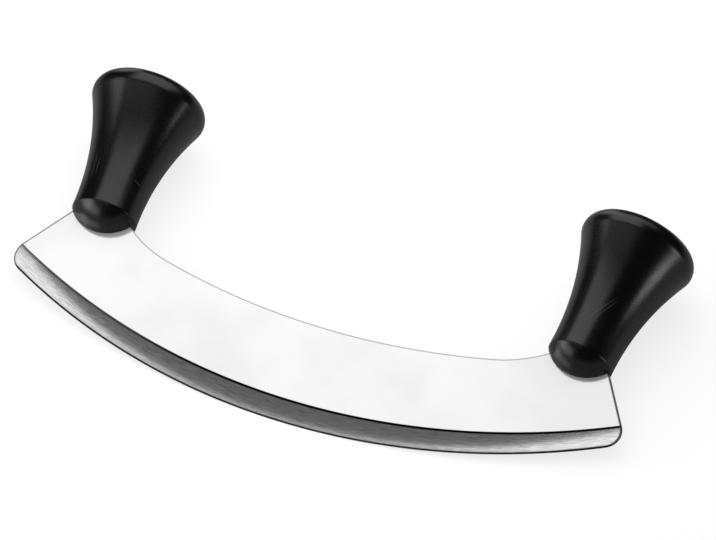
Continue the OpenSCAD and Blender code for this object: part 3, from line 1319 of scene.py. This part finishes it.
SCRATCHES = {
    Side.LEFT: (
        Scratch((7.6 * MM, 12.3 * MM), (10.7 * MM, 11.4 * MM)),
        Scratch((-6.4 * MM, 7.0 * MM), (-7.4 * MM, 20.0 * MM), 0.08 * MM),
        Scratch((-5.0 * MM, 9.0 * MM), (-5.7 * MM, 17.0 * MM), 0.07 * MM),
        Scratch((-8.3 * MM, 5.5 * MM), (-9.0 * MM, 13.0 * MM), 0.08 * MM),
    ),
    Side.RIGHT: (
        Scratch((-2.2 * MM, 7.6 * MM), (5.4 * MM, 21.6 * MM)),
        Scratch((0.8 * MM, 9.6 * MM), (5.9 * MM, 20.6 * MM), 0.08 * MM),
    ),
}


@dataclass(frozen=True)
class KnobSteps:
    """Numbers of faces along the curves of a handle and its cap, and round the two."""

    dome: int = 18
    ridge: int = 10
    flare: int = 60
    rim: int = 24
    land: int = 3
    lip: int = 4
    wall: int = 20
    crown: int = 24
    round_shell: int = 192
    round_lid: int = 128


@dataclass
class Knob:
    """One handle with the cap that closes it and the washer inside it.

    Attributes:
        side: Which end it stands on.
        blade: Sizes of the blade that it holds.
        sizes: Its own sizes.
        rest: How the knife lies.
        shell: Finish of the handle.
        lid: Finish of the cap.
        strip: Finish of the washer.
        steps: How finely the handle and the cap are divided.
    """

    side: Side
    blade: BladeSizes
    sizes: KnobSizes
    rest: Rest
    shell: MouldedPlastic = MouldedPlastic()
    lid: MouldedPlastic = MouldedPlastic(name="cap_plastic", rough=0.3)
    strip: SpringSteel = SpringSteel()
    steps: KnobSteps = KnobSteps()

    def shell_profile(self) -> list[Arc]:
        """Section of the handle, from the foot's pole up the outside and down the hollow."""
        k, n = self.sizes, self.steps
        ridge_low = k.dome_c + k.dome_r * unit(k.ridge_c - k.dome_c)
        ridge_top = k.ridge_c + k.ridge_r * unit(k.flare_c - k.ridge_c)
        lip_top = Vector((k.recess_r + k.lip_r, k.top_y(k.recess_r + k.lip_r)))
        lip_low = Vector((k.recess_r, k.top_y(k.recess_r) - k.lip_r))
        ledge = Vector((k.recess_r, k.ledge_y))
        inner = Vector((k.mouth_r, k.ledge_y))
        # The mouth runs straight down to where the flared wall is as narrow
        drop = math.sqrt((k.flare_r + k.wall) ** 2 - (k.flare_c.x - k.mouth_r) ** 2)
        low_h = min(k.flare_c.y + drop, k.flare_h)
        mouth = Vector((k.mouth_r, low_h))
        wall_top = Vector((min(k.hollow_r(low_h), k.mouth_r), low_h))
        floor = Vector((k.hollow_r(k.floor_h), k.floor_h))
        arcs = [
            Arc(Vector((0, -k.foot_h)), ridge_low, k.dome_c, n.dome),
            Arc(ridge_low, ridge_top, k.ridge_c, n.ridge),
            Arc(ridge_top, k.head_p, k.flare_c, n.flare),
            Arc(k.head_p, k.crown_p, k.rim_c, n.rim),
            Arc(k.crown_p, lip_top, k.crown_c, n.land),
            Arc(lip_top, lip_low, Vector((lip_top.x, lip_low.y)), n.lip),
            Arc(lip_low, ledge),
            Arc(ledge, inner),
            Arc(inner, mouth),
        ]
        if (mouth - wall_top).length > 0.01 * MM:
            arcs.append(Arc(mouth, wall_top))
        arcs += [Arc(wall_top, floor, k.flare_c, n.wall), Arc(floor, Vector((0, k.floor_h)))]
        return arcs

    def lid_profile(self) -> list[Arc]:
        """Section of the cap, from its underside's pole out round the skirt to its crown's pole."""
        k = self.sizes
        edge_r = k.recess_r - k.cap_fit
        skirt_r = k.mouth_r - k.cap_fit
        inner_r = skirt_r - k.skirt_t
        low = k.ledge_y - k.skirt_h
        lip_low = Vector((edge_r, k.top_y(edge_r) - k.lip_r))
        lip_top = Vector((edge_r - k.lip_r, k.top_y(edge_r - k.lip_r)))
        corners = [
            Vector((0, k.ledge_y)),
            Vector((inner_r, k.ledge_y)),
            Vector((inner_r, low)),
            Vector((skirt_r, low)),
            Vector((skirt_r, k.ledge_y)),
            Vector((edge_r, k.ledge_y)),
            lip_low,
        ]
        arcs = [Arc(a, b) for a, b in zip(corners, corners[1:])]
        lip_c = Vector((lip_top.x, lip_low.y))
        arcs.append(Arc(lip_low, lip_top, lip_c, self.steps.lip))
        arcs.append(Arc(lip_top, Vector((0, k.top_y(0))), k.crown_c, self.steps.crown))
        return arcs

    def slots(self) -> list[SlotBox]:
        """Slit that straddles the blade's neck, and the slot for its tang."""
        k, b = self.sizes, self.blade
        thick = b.thickness + 2 * k.slot_fit
        low, high = -k.foot_h - MM, -b.shoulder_drop
        sweep = b.from_handle(b.sweep_c)
        slit = SlotBox(
            Vector((2 * k.foot, thick, high - low)),
            Vector((0, 0, (low + high) / 2)),
            b.sweep_r - k.slot_fit,
            Vector((self.side.value * sweep.x, 0, sweep.y)),
        )
        low, high = -b.shoulder_drop - MM, k.floor_h + MM
        extent = Vector((b.tang + 2 * k.slot_fit, thick, high - low))
        return [slit, SlotBox(extent, Vector((0, 0, (low + high) / 2)))]

    def build(self) -> None:
        """Build the handle and its cap, and dress the washer."""
        matrix = self.rest.knob_matrix(self.side.value)
        word = self.side.word
        shell_finish = replace(self.shell, scratches=SCRATCHES[self.side])
        shell = Turning(
            word + "_knob", self.shell_profile(), self.steps.round_shell, self.slots()
        )
        finish_piece(
            shell.build(matrix, shell_finish.make(matrix)), Slot.HANDLE, word + "_handle"
        )
        lid = Turning(word + "_lid", self.lid_profile(), self.steps.round_lid)
        finish_piece(lid.build(matrix, self.lid.make(matrix)), Slot.CAP, word + "_cap")
        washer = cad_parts[word + "_retainer"]
        for slot in washer.material_slots:
            slot.material = self.strip.make()
        LOG.info("%s: kept from the frame", washer.name)


# ---- studio


def standing(at: Vector, x: Vector, y: Vector, z: Vector) -> Matrix:
    """Return the matrix of a place whose own axes point the given ways."""
    return Matrix.Translation(at) @ Matrix((x, y, z)).transposed().to_4x4()


@dataclass(frozen=True)
class Softbox:
    """A lit panel: the rectangle that it fills, the way it faces and its brightness.

    Attributes:
        name: Its name.
        middle: Middle of the panel.
        facing: Direction in which it shines.
        upright: Direction of its height.
        width: Its width.
        height: Its height.
        glow: Brightness of its surface, where 1 is white.
    """

    name: str
    middle: Triple
    facing: Triple
    upright: Triple
    width: float
    height: float
    glow: float

    def build(self) -> None:
        """Hang the panel."""
        lamp = bpy.data.lights.new(self.name, "AREA")
        lamp.shape = "RECTANGLE"
        lamp.size = self.width
        lamp.size_y = self.height
        # A panel's surface is as bright as its power over pi times its area
        lamp.energy = self.glow * math.pi * self.width * self.height
        obj = new_object(self.name, lamp)
        z = -Vector(self.facing).normalized()
        y = (Vector(self.upright) - Vector(self.upright).dot(z) * z).normalized()
        obj.matrix_world = standing(Vector(self.middle), y.cross(z), y, z)
        obj.visible_camera = False


@dataclass(frozen=True)
class Studio:
    """Camera, panels, floor and the room around them.

    Attributes:
        target: Point that the camera looks at.
        azimuth: Turn of the camera from the front, to the right.
        elevation: Its height above the horizon.
        roll: Its roll.
        distance: Its distance from the target.
        lens: Its focal length, in millimetres.
        sensor: Width of its frame, in millimetres.
        clip: Nearest and farthest distance that it sees.
        room: Brightness of the dim room, as polished surfaces mirror it.
        fill: Brightness of the room as it lights dull surfaces.
        floor_level: Colour of the floor.
        floor_mirrored: Colour of the floor near the knife and far from it, in polished surfaces.
        floor_lift: How far the floor is lifted towards white for the eye.
        floor_reach: Distances from the knife at which the floor counts as near and as far.
        floor_half: Half the floor's width.
    """

    target: Triple = (3.397 * MM, 8.486 * MM, 13.141 * MM)
    azimuth: float = math.radians(25.0992)
    elevation: float = math.radians(48.2450)
    roll: float = math.radians(-2.5839)
    distance: float = 2027.839 * MM
    lens: float = 301.257
    sensor: float = 36.0
    clip: Point = (0.05, 50.0)
    room: float = 0.03
    fill: float = 0.8
    floor_level: float = 0.86
    floor_mirrored: Point = (0.28, 0.07)
    floor_lift: float = 0.75
    floor_reach: Point = (0.15, 0.35)
    floor_half: float = 3.0

    def camera(self) -> None:
        """Set up the camera."""
        data = bpy.data.cameras.new("camera")
        data.sensor_fit = "HORIZONTAL"
        data.sensor_width = self.sensor
        data.lens = self.lens
        data.clip_start, data.clip_end = self.clip
        obj = new_object("camera", data)
        a, e = self.azimuth, self.elevation
        back = Vector((math.sin(a) * math.cos(e), -math.cos(a) * math.cos(e), math.sin(e)))
        level = Vector((0, 0, 1)).cross(back).normalized()
        up = back.cross(level)
        right = math.cos(self.roll) * level + math.sin(self.roll) * up
        at = Vector(self.target) + self.distance * back
        obj.matrix_world = standing(at, right, back.cross(right), back)
        bpy.context.scene.camera = obj

    def panels(self) -> None:
        """Hang the panels that light the knife."""
        down, left, back, up = (0, 0, -1), (-1, 0, 0), (0, 1, 0), (0, 0, 1)
        for panel in (
            Softbox("overhead_panel", (-0.0575, 0.178, 0.23), down, back, 0.315, 0.364, 1.5),
            Softbox("left_strip", (-0.208, -0.004, 0.23), down, back, 0.07, 0.005, 1.5),
            Softbox("right_strip", (0.066, -0.004, 0.23), down, back, 0.068, 0.005, 1.5),
            Softbox("overhead_wing", (0.15, 0.24, 0.23), down, back, 0.1, 0.24, 0.7),
            Softbox("front_ceiling", (-0.13, -0.19, 0.39), down, back, 0.54, 0.4, 0.1),
            Softbox("front_glow", (-0.16, -0.29, 0.385), down, back, 0.44, 0.3, 0.45),
            Softbox("right_card", (0.31, -0.003, 0.042), left, up, 0.048, 0.08, 4.6),
            Softbox("front_left_card", (-0.335, -0.17, 0.14), (1, 0.2, 0), up, 0.3, 0.26, 1.7),
            Softbox("low_left_card", (-0.31, -0.38, 0.11), (1, 1, 0), up, 0.42, 0.22, 1.9),
            Softbox("back_left_card", (-0.675, 0.83, 0.28), (1, -1, 0), up, 0.49, 0.56, 1.3),
        ):
            panel.build()

    def floor(self) -> None:
        """Lay the pale floor, which keeps the knife's shadow."""
        mesh = bpy.data.meshes.new("floor")
        half = self.floor_half
        corners = [(-half, -half, 0), (half, -half, 0), (half, half, 0), (-half, half, 0)]
        mesh.from_pydata(corners, [], [(0, 1, 2, 3)])
        obj = new_object("floor", mesh)
        material, g = new_material("pale_floor")
        path = g.node("ShaderNodeLightPath")
        seen = g.out(path, "Is Camera Ray")
        place = g.out(g.node("ShaderNodeTexCoord"), "Object")
        far = g.length(place).step(*self.floor_reach)
        mirrored = g.mix(far, *(rgb(level) for level in self.floor_mirrored))
        colour = g.mix(g.out(path, "Is Glossy Ray"), rgb(self.floor_level), mirrored)
        dull = g.node("ShaderNodeBsdfDiffuse", None, {"Color": colour})
        white = g.node("ShaderNodeEmission", None, {"Color": rgb(1.0)})
        inputs = {0: seen * self.floor_lift, 1: g.out(dull), 2: g.out(white)}
        shader = g.node("ShaderNodeMixShader", None, inputs)
        g.node("ShaderNodeOutputMaterial", None, {"Surface": g.out(shader)})
        mesh.materials.append(material)

    def world(self) -> None:
        """Fill the room: white behind the knife, dim where polished surfaces mirror it."""
        world = bpy.data.worlds.new("room")
        bpy.context.scene.world = world
        world.use_nodes = True
        g = Graph(world.node_tree)
        path = g.node("ShaderNodeLightPath")
        seen = g.math("MAXIMUM", g.out(path, "Is Camera Ray"), g.out(path, "Is Transmission Ray"))
        glossy = g.out(path, "Is Glossy Ray")
        dull = glossy * self.room + (1.0 - glossy) * self.fill
        level = seen + (1.0 - seen) * dull
        shader = g.node("ShaderNodeBackground", None, {"Color": rgb(1.0), "Strength": level})
        g.node("ShaderNodeOutputWorld", None, {"Surface": g.out(shader)})

    def build(self) -> None:
        """Set up everything around the knife but the camera."""
        self.panels()
        self.floor()
        self.world()
        bpy.context.scene.view_settings.view_transform = "Standard"


def main() -> None:
    """Build the knife and its studio, in order."""
    logging.basicConfig(level=logging.INFO, format="%(message)s")
    studio = Studio()
    studio.camera()
    LOG.info("camera set")
    blade, knob = BladeSizes(), KnobSizes()
    rest = Rest(blade, knob)
    Blade(blade, rest.matrix).build()
    for side in Side:
        Knob(side, blade, knob, rest).build()
    studio.build()
    LOG.info("studio built")


if __name__ == "__main__":
    main()
